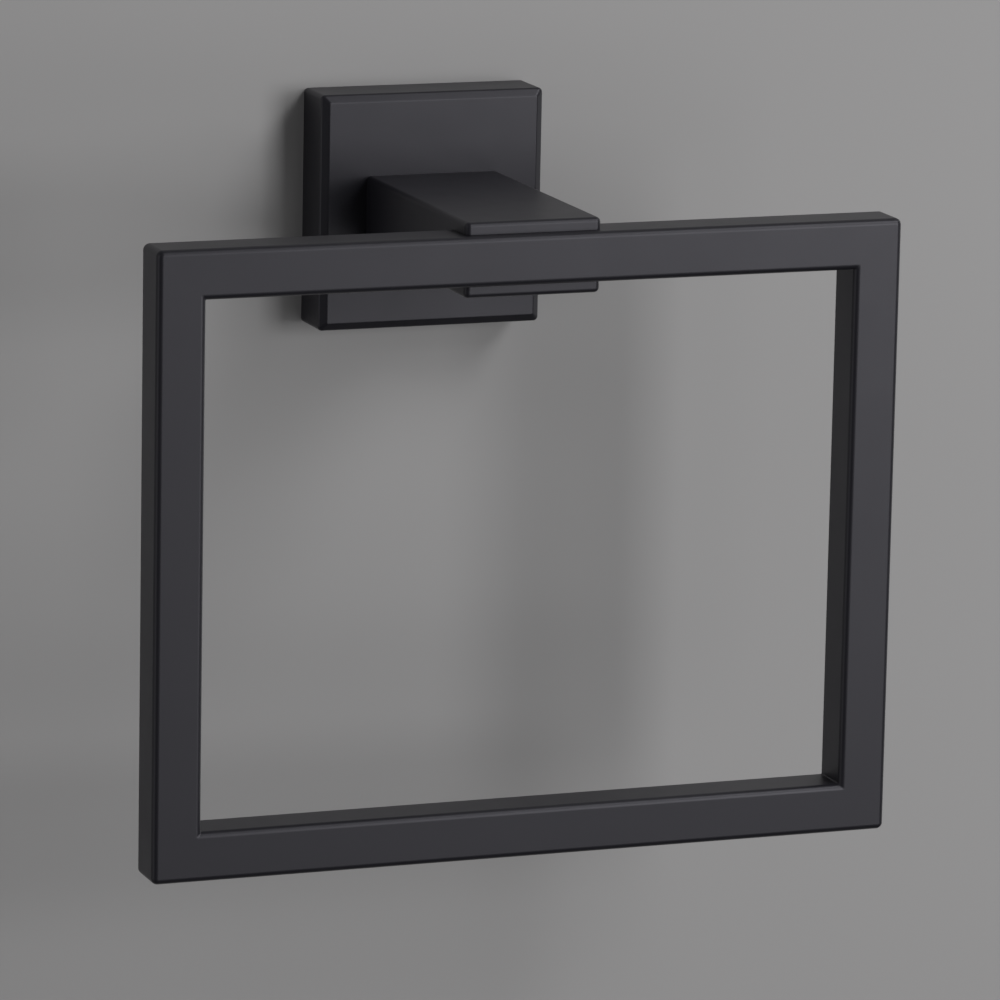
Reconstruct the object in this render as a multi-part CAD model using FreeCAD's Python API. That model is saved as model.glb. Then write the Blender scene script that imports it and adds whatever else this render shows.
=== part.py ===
"""Square towel ring for a bathroom wall: ring, arm, wall flange, hidden bracket and screws, in millimetres.

The wall is the plane Y = 0. +Y points into the wall, +X to the viewer's right and +Z up.
The origin is the middle of the flange on the wall.
"""

import math
import os

import FreeCAD
import Part

# Ring: one frame of rectangular bar
RING_WIDTH = 162.6
RING_HEIGHT = 131.4
BAR_WIDTH = 10.5  # seen from the front
BAR_DEPTH = 10.8  # front to back
BAR_EDGE_R = 1.3
RING_CORNER_EXTRA = 0.1  # the frame's outer corners are rounder than the bar's edges by this much
PROJECTION = 75.6  # wall to the front of the ring

# Arm: one casting, open at the back, with a slot that takes the top bar
ARM_WIDTH = 29.7
ARM_EDGE_R = 1.0
ARM_WALL = 2.4
ARM_HOLLOW_R = 1.2
LIP_THICKNESS = 2.55
LIP_CORNER_R = 1.2  # seen from above
BAR_PROUD = 2.3  # the bar stands this far out of the slot
SLOT_CLEARANCE = 0.05
SLOT_ROOT_R = 0.9
WEB_THICKNESS = 3.5  # floor of the slot
BOSS_SPACING = 19.0
BOSS_R = 3.4

# Flange: one casting, hollow at the back
FLANGE_WIDTH = 50.0
FLANGE_HEIGHT = 50.6
FLANGE_DEPTH = 12.2
FLANGE_WALL = 2.6
FLANGE_FRONT = 3.0
FLANGE_CORNER_R = 1.0
FLANGE_BEVEL = 1.6  # seen from the front
FLANGE_BEVEL_DEPTH = 1.1
BEVEL_CORNER_R = 0.4  # corners of the flat inside the bevel
BEVEL_EDGE_R = 0.7
FLANGE_HOLLOW_R = 1.5
PAD_THICKNESS = 1.2  # thickens the front where the arm is screwed on
PAD_MARGIN = 1.6
PAD_R = 2.0

# Bracket: one plate with two tabs bent forward
SHEET = 2.0
BRACKET_WIDTH = 32.0
BRACKET_CORNER_R = 3.0
TAB_WIDTH = 18.0
TAB_CORNER_R = 1.5
TAB_END_CLEARANCE = 1.2
BEND_R = 1.2  # inside the bend
RELIEF_R = 1.0  # notch beside each bend
LOWER_TAB_GAP = 0.8  # between the lower tab and the flange's bottom wall
WALL_SLOT_SPACING = 22.0
WALL_SLOT_LENGTH = 8.0
WALL_SLOT_R = 2.25

# Screws
THREAD_CLEARANCE = 0.05
TAPPED_HOLE_EXTRA = 1.0  # a tapped hole goes this far past its screw
DRILL_POINT_ANGLE = 118.0
SCREW_TIP_CHAMFER = 0.5
ARM_SCREW_R = 2.0
ARM_SCREW_LENGTH = 12.0
ARM_SCREW_HOLE_R = 2.25
ARM_SCREW_HEAD_R = 3.9
ARM_SCREW_HEAD_HEIGHT = 2.6
ARM_SCREW_HEAD_CHAMFER = 0.5
CROSS_LENGTH = 4.4
CROSS_WIDTH = 0.9
CROSS_DEPTH = 1.6
RING_SCREW_R = 2.5
RING_SCREW_LENGTH = 10.0
RING_SCREW_HOLE_R = 2.75
RING_SCREW_HEAD_R = 4.25
RING_SCREW_HEAD_HEIGHT = 5.0
RING_SCREW_SOCKET = 4.0  # across flats
RING_SCREW_SOCKET_DEPTH = 2.5
HEAD_CHAMFER = 0.4
WASHER_R = 4.6
WASHER_CLEARANCE = 0.1
WASHER_THICKNESS = 1.3
WASHER_SPLIT = 0.8
WASHER_SPLIT_ANGLE = 20.0
GRUB_R = 2.0
GRUB_RECESS = 0.3
GRUB_CHAMFER = 0.3
GRUB_SOCKET = 2.0  # across flats
GRUB_SOCKET_DEPTH = 1.5
GRUB_DOG_R = 1.25
GRUB_DOG_LENGTH = 1.4
GRUB_DOG_CLEARANCE = 0.1

# Places that follow from the sizes
RING_FRONT = -PROJECTION
RING_BACK = RING_FRONT + BAR_DEPTH
RING_TOP = BAR_WIDTH / 2
LIP_FRONT = RING_FRONT + BAR_PROUD
SLOT_HEIGHT = BAR_WIDTH + 2 * SLOT_CLEARANCE
ARM_HEIGHT = SLOT_HEIGHT + 2 * LIP_THICKNESS
WEB_BACK = RING_BACK + WEB_THICKNESS
BOSS_X = BOSS_SPACING / 2
FLANGE_FACE = -FLANGE_DEPTH
FLANGE_INSIDE = FLANGE_FACE + FLANGE_FRONT
PAD_BACK = FLANGE_INSIDE + PAD_THICKNESS
HOLLOW_X = FLANGE_WIDTH / 2 - FLANGE_WALL
HOLLOW_Z = FLANGE_HEIGHT / 2 - FLANGE_WALL
TAB_END = PAD_BACK + TAB_END_CLEARANCE
UPPER_TAB_TOP = HOLLOW_Z
LOWER_TAB_BOTTOM = LOWER_TAB_GAP - HOLLOW_Z
PLATE_TOP = UPPER_TAB_TOP - SHEET - BEND_R
PLATE_BOTTOM = LOWER_TAB_BOTTOM + SHEET + BEND_R
GRUB_Y = (TAB_END - SHEET - BEND_R) / 2
WASHER_BACK = WEB_BACK + WASHER_THICKNESS
BEYOND = 5.0  # cutting shapes run this far past what they cut

X = FreeCAD.Vector(1, 0, 0)
Y = FreeCAD.Vector(0, 1, 0)
Z = FreeCAD.Vector(0, 0, 1)
NEAR = 1e-4


def vec(x, y, z):
    """Return a point."""
    return FreeCAD.Vector(x, y, z)


def straight_edges(shape, axis, wanted=lambda middle: True):
    """Return the straight edges along an axis whose middle is wanted."""
    found = []
    for edge in shape.Edges:
        ends = [vertex.Point for vertex in edge.Vertexes]
        if edge.Curve.TypeId != "Part::GeomLine" or len(ends) < 2:
            continue
        if (ends[1] - ends[0]).cross(axis).Length < NEAR and wanted((ends[0] + ends[1]) / 2):
            found.append(edge)
    return found


def flat_edges(shape, axis, place, wanted=lambda middle: True):
    """Return the edges that lie in the plane across an axis at one place."""
    found = []
    for edge in shape.Edges:
        points = edge.discretize(5)
        if all(abs(point.dot(axis) - place) < NEAR for point in points) and wanted(points[2]):
            found.append(edge)
    return found


def block(low, high, axis=None, radius=0.0):
    """Return a box between two corners, with its edges along one axis rounded."""
    size = high - low
    box = Part.makeBox(size.x, size.y, size.z, low)
    if axis is None:
        return box
    return box.makeFillet(radius, straight_edges(box, axis))


def outline(inset, radius, y):
    """Return the flange's outline at depth y, drawn in by an inset, with round corners."""
    half_w = FLANGE_WIDTH / 2 - inset - radius
    half_h = FLANGE_HEIGHT / 2 - inset - radius
    low = [vec(-half_w, y, -half_h), vec(half_w, y, -half_h)]
    corners = low + [vec(half_w, y, half_h), vec(-half_w, y, half_h)]
    core = Part.makePolygon(corners + corners[:1])
    return core.makeOffset2D(radius)


def placed(shape, position, towards):
    """Put a shape that was drawn along +Z so that it points another way."""
    shape.Placement = FreeCAD.Placement(position, FreeCAD.Rotation(Z, towards))
    return shape


def mirrored_pair(shape):
    """Return a shape and its mirror image across the middle."""
    return [shape, shape.mirror(vec(0, 0, 0), X)]


def drilled_hole(radius, depth):
    """Return a blind hole as a tool: mouth at the origin, drilled towards +Z, with the drill's point."""
    point = radius / math.tan(math.radians(DRILL_POINT_ANGLE / 2))
    profile = [vec(0, 0, -BEYOND), vec(radius, 0, -BEYOND), vec(radius, 0, depth), vec(0, 0, depth + point)]
    face = Part.Face(Part.makePolygon(profile + profile[:1]))
    return face.revolve(vec(0, 0, 0), Z, 360)


def hexagon(across_flats, depth):
    """Return a six-sided prism from the origin towards +Z."""
    radius = across_flats / math.sqrt(3)
    turns = [k * math.pi / 3 for k in range(7)]
    corners = [vec(radius * math.cos(turn), radius * math.sin(turn), 0) for turn in turns]
    return Part.Face(Part.makePolygon(corners)).extrude(vec(0, 0, depth))


def shank(radius, length):
    """Return a screw's shank from the origin towards -Z, with a chamfered tip."""
    rod = Part.makeCylinder(radius, length, vec(0, 0, -length))
    return rod.makeChamfer(SCREW_TIP_CHAMFER, flat_edges(rod, Z, -length))


def make_ring():
    """Return the ring: a closed frame with rounded edges and a tapped hole in the back of its top bar."""
    half = RING_WIDTH / 2
    bottom = RING_TOP - RING_HEIGHT
    outer_low = vec(-half, RING_FRONT, bottom)
    outer_high = vec(half, RING_BACK, RING_TOP)
    step = vec(BAR_WIDTH, 0, BAR_WIDTH)
    outer = block(outer_low, outer_high, Y, BAR_EDGE_R + RING_CORNER_EXTRA)
    inner = block(outer_low + step, outer_high - step)
    frame = outer.cut(inner)
    rims = flat_edges(frame, Y, RING_FRONT) + flat_edges(frame, Y, RING_BACK)
    frame = frame.makeFillet(BAR_EDGE_R, rims)
    reach = RING_SCREW_LENGTH - WASHER_THICKNESS - WEB_THICKNESS
    hole = drilled_hole(RING_SCREW_R + THREAD_CLEARANCE, reach + TAPPED_HOLE_EXTRA)
    return frame.cut(placed(hole, vec(0, RING_BACK, 0), -Y))


def arm_hollow():
    """Return the arm's core: a rounded space between the side walls, with a screw boss on each side."""
    half_w = ARM_WIDTH / 2 - ARM_WALL
    half_h = ARM_HEIGHT / 2 - ARM_WALL
    space = block(
        vec(-half_w, WEB_BACK, -half_h), vec(half_w, FLANGE_FACE + BEYOND, half_h), Y, ARM_HOLLOW_R
    )
    length = FLANGE_FACE + BEYOND - WEB_BACK
    boss = Part.makeCylinder(BOSS_R, length, vec(BOSS_X, WEB_BACK, 0), Y)
    foot = block(vec(BOSS_X, WEB_BACK, -BOSS_R), vec(ARM_WIDTH / 2, WEB_BACK + length, BOSS_R))
    return space.cut(mirrored_pair(boss.fuse(foot)))


def make_arm():
    """Return the arm: a hollow casting whose front is a slot between two lips."""
    half_w = ARM_WIDTH / 2
    half_h = ARM_HEIGHT / 2
    body = block(vec(-half_w, LIP_FRONT, -half_h), vec(half_w, FLANGE_FACE, half_h))
    body = body.makeFillet(LIP_CORNER_R, straight_edges(body, Z, lambda middle: middle.y < LIP_FRONT + NEAR))
    rims = []
    for height in (-half_h, half_h):
        rims += flat_edges(body, Z, height, lambda middle: middle.y < FLANGE_FACE - NEAR)
    body = body.makeFillet(ARM_EDGE_R, rims)
    slot = block(
        vec(-ARM_WIDTH, LIP_FRONT - BEYOND, -SLOT_HEIGHT / 2), vec(ARM_WIDTH, RING_BACK, SLOT_HEIGHT / 2)
    )
    slot = slot.makeFillet(SLOT_ROOT_R, straight_edges(slot, X, lambda middle: middle.y > RING_BACK - NEAR))
    body = body.cut(slot)
    body = body.cut(arm_hollow())
    reach = ARM_SCREW_LENGTH - FLANGE_FRONT - PAD_THICKNESS
    tapped = drilled_hole(ARM_SCREW_R + THREAD_CLEARANCE, reach + TAPPED_HOLE_EXTRA)
    tapped = placed(tapped, vec(BOSS_X, FLANGE_FACE, 0), -Y)
    start = vec(0, RING_BACK - BEYOND, 0)
    through = Part.makeCylinder(RING_SCREW_HOLE_R, WEB_THICKNESS + 2 * BEYOND, start, Y)
    return body.cut(mirrored_pair(tapped) + [through])


def make_flange():
    """Return the wall flange: a bevelled casting, hollow at the back, with a pad behind the arm."""
    sections = [
        outline(0, FLANGE_CORNER_R, 0),
        outline(0, FLANGE_CORNER_R, FLANGE_FACE + FLANGE_BEVEL_DEPTH),
        outline(FLANGE_BEVEL, BEVEL_CORNER_R, FLANGE_FACE),
    ]
    body = Part.makeLoft(sections, True, True)
    rims = flat_edges(body, Y, FLANGE_FACE + FLANGE_BEVEL_DEPTH) + flat_edges(body, Y, FLANGE_FACE)
    body = body.makeFillet(BEVEL_EDGE_R, rims)
    hollow_low = vec(-HOLLOW_X, FLANGE_INSIDE, -HOLLOW_Z)
    hollow = block(hollow_low, vec(HOLLOW_X, BEYOND, HOLLOW_Z), Y, FLANGE_HOLLOW_R)
    pad_x = BOSS_X + ARM_SCREW_HEAD_R + PAD_MARGIN
    pad_z = ARM_SCREW_HEAD_R + PAD_MARGIN
    pad = block(vec(-pad_x, FLANGE_FACE + NEAR, -pad_z), vec(pad_x, PAD_BACK, pad_z), Y, PAD_R)
    body = body.cut(hollow.cut(pad))
    hole = Part.makeCylinder(ARM_SCREW_HOLE_R, FLANGE_DEPTH, vec(BOSS_X, FLANGE_FACE - BEYOND, 0), Y)
    grub_start = vec(0, GRUB_Y, -HOLLOW_Z)
    grub_hole = Part.makeCylinder(GRUB_R + THREAD_CLEARANCE, FLANGE_WALL + BEYOND, grub_start, -Z)
    return body.cut(mirrored_pair(hole) + [grub_hole])


def make_bracket():
    """Return the wall bracket: a bent plate with two wall slots and a hole for the grub screw's point."""
    half = BRACKET_WIDTH / 2
    outer = block(vec(-half, TAB_END, LOWER_TAB_BOTTOM), vec(half, 0, UPPER_TAB_TOP))
    outer = outer.makeFillet(BEND_R + SHEET, straight_edges(outer, X, lambda middle: middle.y > -NEAR))
    inner = block(
        vec(-half - BEYOND, TAB_END - BEYOND, LOWER_TAB_BOTTOM + SHEET),
        vec(half + BEYOND, -SHEET, UPPER_TAB_TOP - SHEET),
    )
    inner = inner.makeFillet(BEND_R, straight_edges(inner, X, lambda middle: middle.y > -SHEET - NEAR))
    plate = outer.cut(inner)
    tools = []
    for low_z, high_z, edge_z in (
        (PLATE_TOP, UPPER_TAB_TOP + BEYOND, PLATE_TOP),
        (LOWER_TAB_BOTTOM - BEYOND, PLATE_BOTTOM, PLATE_BOTTOM),
    ):
        side = block(vec(TAB_WIDTH / 2, TAB_END - BEYOND, low_z), vec(half + BEYOND, BEYOND, high_z))
        relief = Part.makeCylinder(
            RELIEF_R, SHEET + 2 * BEYOND, vec(TAB_WIDTH / 2 + RELIEF_R, -SHEET - BEYOND, edge_z), Y
        )
        tools += mirrored_pair(side) + mirrored_pair(relief)
    plate = plate.cut(tools)
    plate = plate.makeFillet(
        BRACKET_CORNER_R, straight_edges(plate, Y, lambda middle: abs(middle.x) > half - NEAR)
    )
    plate = plate.makeFillet(TAB_CORNER_R, straight_edges(plate, Z, lambda middle: middle.y < TAB_END + NEAR))
    straight = WALL_SLOT_LENGTH / 2 - WALL_SLOT_R
    slots = []
    for centre in (-WALL_SLOT_SPACING / 2, WALL_SLOT_SPACING / 2):
        slot = block(
            vec(-WALL_SLOT_R, -SHEET - BEYOND, centre - straight), vec(WALL_SLOT_R, BEYOND, centre + straight)
        )
        for end in (centre - straight, centre + straight):
            start = vec(0, -SHEET - BEYOND, end)
            slot = slot.fuse(Part.makeCylinder(WALL_SLOT_R, SHEET + 2 * BEYOND, start, Y))
        slots.append(slot)
    dog_hole = Part.makeCylinder(
        GRUB_DOG_R + GRUB_DOG_CLEARANCE, SHEET + 2 * BEYOND, vec(0, GRUB_Y, LOWER_TAB_BOTTOM - BEYOND), Z
    )
    return plate.cut(slots + [dog_hole])


def make_grub_screw():
    """Return the grub screw: driven up through the flange until its point is in the bracket's lower tab."""
    low = GRUB_RECESS - FLANGE_HEIGHT / 2
    length = LOWER_TAB_BOTTOM - low
    body = Part.makeCylinder(GRUB_R, length)
    body = body.makeChamfer(GRUB_CHAMFER, flat_edges(body, Z, 0) + flat_edges(body, Z, length))
    dog = Part.makeCylinder(GRUB_DOG_R, GRUB_DOG_LENGTH + length / 2, vec(0, 0, length / 2))
    body = body.fuse(dog).cut(hexagon(GRUB_SOCKET, min(GRUB_SOCKET_DEPTH, length / 2)))
    return placed(body, vec(0, GRUB_Y, low), Z)


def make_arm_screws():
    """Return the two cross-recessed screws that hold the arm, put in from the flange's hollow."""
    top = ARM_SCREW_HEAD_HEIGHT
    head = Part.makeCylinder(ARM_SCREW_HEAD_R, top)
    head = head.makeChamfer(ARM_SCREW_HEAD_CHAMFER, flat_edges(head, Z, top))
    screw = head.fuse(shank(ARM_SCREW_R, ARM_SCREW_LENGTH))
    bar_low = vec(-CROSS_LENGTH / 2, -CROSS_WIDTH / 2, top - CROSS_DEPTH)
    bar = block(bar_low, vec(CROSS_LENGTH / 2, CROSS_WIDTH / 2, top + BEYOND))
    crossed = bar.copy()
    crossed.rotate(vec(0, 0, 0), Z, 90)
    screw = placed(screw.cut([bar, crossed]), vec(BOSS_X, PAD_BACK, 0), Y)
    return Part.makeCompound(mirrored_pair(screw))


def make_ring_screw():
    """Return the socket screw that pulls the ring into the slot, put in from the arm's hollow."""
    head = Part.makeCylinder(RING_SCREW_HEAD_R, RING_SCREW_HEAD_HEIGHT)
    head = head.makeChamfer(HEAD_CHAMFER, flat_edges(head, Z, RING_SCREW_HEAD_HEIGHT))
    socket = hexagon(RING_SCREW_SOCKET, RING_SCREW_SOCKET_DEPTH + BEYOND)
    socket.translate(vec(0, 0, RING_SCREW_HEAD_HEIGHT - RING_SCREW_SOCKET_DEPTH))
    screw = head.cut(socket).fuse(shank(RING_SCREW_R, RING_SCREW_LENGTH))
    return placed(screw, vec(0, WASHER_BACK, 0), Y)


def make_washer():
    """Return the split lock washer under the ring screw's head, pressed flat."""
    washer = Part.makeCylinder(WASHER_R, WASHER_THICKNESS)
    hole = Part.makeCylinder(RING_SCREW_R + WASHER_CLEARANCE, WASHER_THICKNESS)
    split = block(vec(-WASHER_SPLIT / 2, 0, -BEYOND), vec(WASHER_SPLIT / 2, WASHER_R + BEYOND, BEYOND))
    split.rotate(vec(0, 0, WASHER_THICKNESS / 2), Y, WASHER_SPLIT_ANGLE)
    return placed(washer.cut([hole, split]), vec(0, WEB_BACK, 0), Y)


def main():
    """Build every piece and write it to its own file."""
    os.makedirs("parts", exist_ok=True)
    pieces = {
        "ring": make_ring(),
        "arm": make_arm(),
        "wall_flange": make_flange(),
        "wall_bracket": make_bracket(),
        "flange_grub_screw": make_grub_screw(),
        "arm_screws": make_arm_screws(),
        "ring_screw": make_ring_screw(),
        "ring_lock_washer": make_washer(),
    }
    for name, shape in pieces.items():
        shape.exportStep(f"parts/{name}.step")
        print(name, "valid" if shape.isValid() else "NOT VALID", f"{shape.Volume:.1f} mm3", len(shape.Solids))


main()
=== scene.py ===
"""Looks of a square towel ring: a satin black ring, arm and wall flange, with the plated parts behind them.

Lengths are in metres. The wall is the plane Y = 0 and +Y points into it, +X is to the viewer's right
and +Z is up.
"""

import logging
import math
from collections.abc import Callable, Iterable
from dataclasses import dataclass, field
from enum import Enum

import bmesh
import bpy
from bmesh.types import BMEdge, BMFace, BMesh, BMVert
from mathutils import Matrix, Vector


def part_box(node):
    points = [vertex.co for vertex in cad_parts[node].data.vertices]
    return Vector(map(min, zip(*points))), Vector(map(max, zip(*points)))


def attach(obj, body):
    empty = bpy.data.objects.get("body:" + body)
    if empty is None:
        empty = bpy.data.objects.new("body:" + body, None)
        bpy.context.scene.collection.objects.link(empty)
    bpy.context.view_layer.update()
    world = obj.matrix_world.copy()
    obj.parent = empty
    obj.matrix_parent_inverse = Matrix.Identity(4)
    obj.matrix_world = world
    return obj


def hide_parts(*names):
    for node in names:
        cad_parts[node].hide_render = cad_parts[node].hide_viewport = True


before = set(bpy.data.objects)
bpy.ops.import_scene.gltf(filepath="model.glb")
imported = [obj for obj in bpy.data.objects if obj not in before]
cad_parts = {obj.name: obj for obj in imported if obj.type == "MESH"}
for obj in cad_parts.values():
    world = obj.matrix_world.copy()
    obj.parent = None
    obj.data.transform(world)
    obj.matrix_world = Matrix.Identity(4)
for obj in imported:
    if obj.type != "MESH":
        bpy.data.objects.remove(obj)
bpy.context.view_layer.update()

ROOT = "root"
MM = 0.001
NEAR = 1e-6
BEYOND = 5 * MM  # cutting shapes run this far past what they cut
ROUND = 64  # facets round a whole circle
CREASE = 28.0  # an edge that turns by more degrees than this stays crisp
SHARP = 20.0  # one that turns by more than this is a rim
SQUARE = 60.0  # one that turns outwards by more than this is a square edge
VALLEY = 2.0  # one that turns inwards by more than this is a valley
DRILL_POINT = 59.0  # degrees between a drill's axis and the cone at its tip
NOISE_RANGE = (0.3, 0.7)  # where most of a noise texture's values lie

log = logging.getLogger("towel_ring")


class Axis(Enum):
    """The three directions of the frame."""

    X = 0
    Y = 1
    Z = 2

    @property
    def vector(self) -> Vector:
        """The unit vector along this direction."""
        return Vector([1.0 if index == self.value else 0.0 for index in range(3)])


class Slot(Enum):
    """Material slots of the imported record."""

    COAT = "satin_black_coat"
    ZINC = "zinc_plate"
    SCREW = "plated_screw"
    BLACK = "black_screw"


class Join(Enum):
    """How a tool changes the body that it meets."""

    CUT = "DIFFERENCE"
    ADD = "UNION"
    COMMON = "INTERSECT"


def block(low: Iterable[float], high: Iterable[float]) -> BMesh:
    """Make a box between two corners.

    Args:
        low: The lowest corner.
        high: The highest corner.

    Returns:
        A closed mesh.
    """
    low, high = Vector(low), Vector(high)
    bm = bmesh.new()
    bmesh.ops.create_cube(bm, size=1.0)
    bmesh.ops.scale(bm, vec=high - low, verts=bm.verts)
    bmesh.ops.translate(bm, vec=(low + high) / 2, verts=bm.verts)
    return bm


def prism(radius: float, length: float, sides: int = ROUND) -> BMesh:
    """Make a rod or a regular prism that stands on the origin and points along +Z.

    Args:
        radius: From the axis to the corners.
        length: Its length.
        sides: How many sides it has.

    Returns:
        A closed mesh.
    """
    bm = bmesh.new()
    bmesh.ops.create_cone(bm, cap_ends=True, segments=sides, radius1=radius, radius2=radius, depth=length)
    bmesh.ops.translate(bm, vec=(0, 0, length / 2), verts=bm.verts)
    return bm


def turned(outline: list[tuple[float, float]], sides: int = ROUND) -> BMesh:
    """Turn an outline round the Z axis.

    Args:
        outline: Radius and height of each point, from axis to axis, or closed on itself away from the axis.
        sides: How many facets the circle has.

    Returns:
        A closed mesh.
    """
    bm = bmesh.new()
    verts = [bm.verts.new((radius, 0, height)) for radius, height in outline]
    edges = [bm.edges.new(pair) for pair in zip(verts, verts[1:])]
    if outline[0][0] > 0:
        edges.append(bm.edges.new((verts[-1], verts[0])))
    bmesh.ops.spin(
        bm, geom=verts + edges, cent=(0, 0, 0), axis=(0, 0, 1), angle=math.tau, steps=sides, use_merge=True
    )
    bmesh.ops.remove_doubles(bm, verts=bm.verts, dist=NEAR)
    bmesh.ops.recalc_face_normals(bm, faces=bm.faces)
    return bm


def drilled_hole(radius: float, depth: float, countersink: float = 0.25 * MM) -> BMesh:
    """Make a blind hole as a tool: its mouth at the origin, drilled towards +Z, with the drill's point.

    Args:
        radius: The hole's radius.
        depth: How deep the full width goes.
        countersink: How much wider and how deep the chamfer at the mouth is.

    Returns:
        A closed mesh.
    """
    wide = radius + countersink
    point = depth + radius / math.tan(math.radians(DRILL_POINT))
    return turned([
        (0, -BEYOND), (wide, -BEYOND), (wide, 0), (radius, countersink), (radius, depth), (0, point),
    ])


def placed(bm: BMesh, position: Iterable[float], towards: Vector) -> BMesh:
    """Turn a shape that was drawn along +Z so that it points another way, and move it.

    Args:
        bm: The shape, which is changed.
        position: Where its origin goes.
        towards: Where its +Z goes.

    Returns:
        The same shape.
    """
    turn = Vector((0, 0, 1)).rotation_difference(towards).to_matrix().to_4x4()
    bmesh.ops.transform(bm, matrix=Matrix.Translation(position) @ turn, verts=bm.verts)
    return bm


def mirrored_pair(bm: BMesh) -> tuple[BMesh, BMesh]:
    """Make the mirror image of a shape across the middle.

    Args:
        bm: The shape.

    Returns:
        The shape and its mirror image.
    """
    twin = bm.copy()
    bmesh.ops.scale(twin, vec=(-1, 1, 1), verts=twin.verts)
    bmesh.ops.reverse_faces(twin, faces=twin.faces)
    return bm, twin


def everything(bm: BMesh) -> list[BMVert | BMEdge | BMFace]:
    """Return all the parts of a mesh."""
    return bm.verts[:] + bm.edges[:] + bm.faces[:]


def edges_where(bm: BMesh, wanted: Callable[[Vector], bool], along: Axis | None = None) -> list[BMEdge]:
    """Find the edges whose middle is wanted.

    Args:
        bm: The mesh to search.
        wanted: Says whether an edge with that middle counts.
        along: The direction that the edges run in, if that matters.

    Returns:
        The edges found.
    """
    found = []
    for edge in bm.edges:
        run = edge.verts[1].co - edge.verts[0].co
        if along and run.cross(along.vector).length > NEAR:
            continue
        if wanted((edge.verts[0].co + edge.verts[1].co) / 2):
            found.append(edge)
    return found


def rim_edges(
    bm: BMesh, axis: Axis, places: Iterable[float], wanted: Callable[[Vector], bool] = lambda point: True
) -> list[BMEdge]:
    """Find the sharp edges that lie in planes across an axis.

    Args:
        bm: The mesh to search.
        axis: The direction across the planes.
        places: Where the planes are along that axis.
        wanted: Says whether an edge with that middle counts.

    Returns:
        The edges found.
    """
    found = []
    for place in places:
        for edge in edges_where(bm, wanted):
            flat = all(abs(vert.co[axis.value] - place) < NEAR for vert in edge.verts)
            if flat and edge.is_manifold and edge.calc_face_angle() > math.radians(SHARP):
                found.append(edge)
    return found


def round_edges(bm: BMesh, edges: list[BMEdge], radius: float, segments: int = 8, turn: float = 90.0) -> None:
    """Round edges to a radius, or chamfer them with one segment.

    Args:
        bm: The mesh, which is changed.
        edges: The edges to round.
        radius: The radius of the rounding.
        segments: How many facets the rounding has.
        turn: The angle in degrees that the surface turns through at the edges.
    """
    bmesh.ops.bevel(
        bm,
        geom=edges,
        offset=radius * math.tan(math.radians(turn / 2)),
        offset_type="OFFSET",
        segments=segments,
        profile=0.5,
        affect="EDGES",
        material=-1,
        clamp_overlap=False,
    )


def round_corners(bm: BMesh, verts: list[BMVert], radius: float, segments: int = 8) -> None:
    """Round the corners of a flat outline.

    Args:
        bm: The mesh, which is changed.
        verts: The corners.
        radius: The radius of the rounding.
        segments: How many edges each rounding has.
    """
    bmesh.ops.bevel(
        bm, geom=verts, offset=radius, segments=segments, profile=0.5, affect="VERTICES", material=-1
    )


def rounded_block(low: Iterable[float], high: Iterable[float], radius: float, segments: int = 8) -> BMesh:
    """Make a box whose edges along Y are rounded.

    Args:
        low: The lowest corner.
        high: The highest corner.
        radius: The radius of the rounding.
        segments: How many facets each rounding has.

    Returns:
        A closed mesh.
    """
    bm = block(low, high)
    round_edges(bm, edges_where(bm, lambda point: True, Axis.Y), radius, segments)
    return bm


def mesh_object(name: str, bm: BMesh) -> bpy.types.Object:
    """Turn a bmesh into an object of the scene and free the bmesh.

    Args:
        name: The object's name.
        bm: The mesh with its place in its vertices.

    Returns:
        The new object, at the origin.
    """
    mesh = bpy.data.meshes.new(name)
    bm.to_mesh(mesh)
    bm.free()
    made = bpy.data.objects.new(name, mesh)
    bpy.context.scene.collection.objects.link(made)
    return made


def taken_back(piece: bpy.types.Object) -> BMesh:
    """Turn an object back into a bmesh and remove the object.

    Args:
        piece: The object, which is used up.

    Returns:
        A new bmesh.
    """
    bm = bmesh.new()
    bm.from_mesh(piece.data)
    mesh = piece.data
    bpy.data.objects.remove(piece)
    bpy.data.meshes.remove(mesh)
    return bm


def combined(body: BMesh, join: Join, *tools: BMesh) -> BMesh:
    """Cut tools out of a body, or join them to it, one after the other.

    Args:
        body: The closed mesh to start from, which is used up.
        join: What each tool does.
        tools: Closed meshes, which are used up.

    Returns:
        The new closed mesh.
    """
    work = mesh_object("work", body)
    for tool in tools:
        cutter = mesh_object("cutter", tool)
        modifier = work.modifiers.new("Combine", "BOOLEAN")
        modifier.operation = join.value
        modifier.solver = "EXACT"
        modifier.object = cutter
        result = bpy.data.meshes.new_from_object(work.evaluated_get(bpy.context.evaluated_depsgraph_get()))
        work.modifiers.clear()
        before, work.data = work.data, result
        bpy.data.meshes.remove(before)
        taken_back(cutter).free()
    made = taken_back(work)
    bmesh.ops.dissolve_degenerate(made, edges=made.edges, dist=NEAR)
    return made


def shade(piece: bpy.types.Object) -> None:
    """Shade a piece smooth but for its creases, with normals weighted by area so that its flats stay flat.

    Args:
        piece: The piece, which is changed.
    """
    bm = bmesh.new()
    bm.from_mesh(piece.data)
    for face in bm.faces:
        face.smooth = True
    for edge in bm.edges:
        edge.smooth = not edge.is_manifold or edge.calc_face_angle() < math.radians(CREASE)
    bm.to_mesh(piece.data)
    bm.free()
    weighted = piece.modifiers.new("Weighted normals", "WEIGHTED_NORMAL")
    weighted.mode = "FACE_AREA"
    weighted.weight = 100
    weighted.keep_sharp = True


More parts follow.
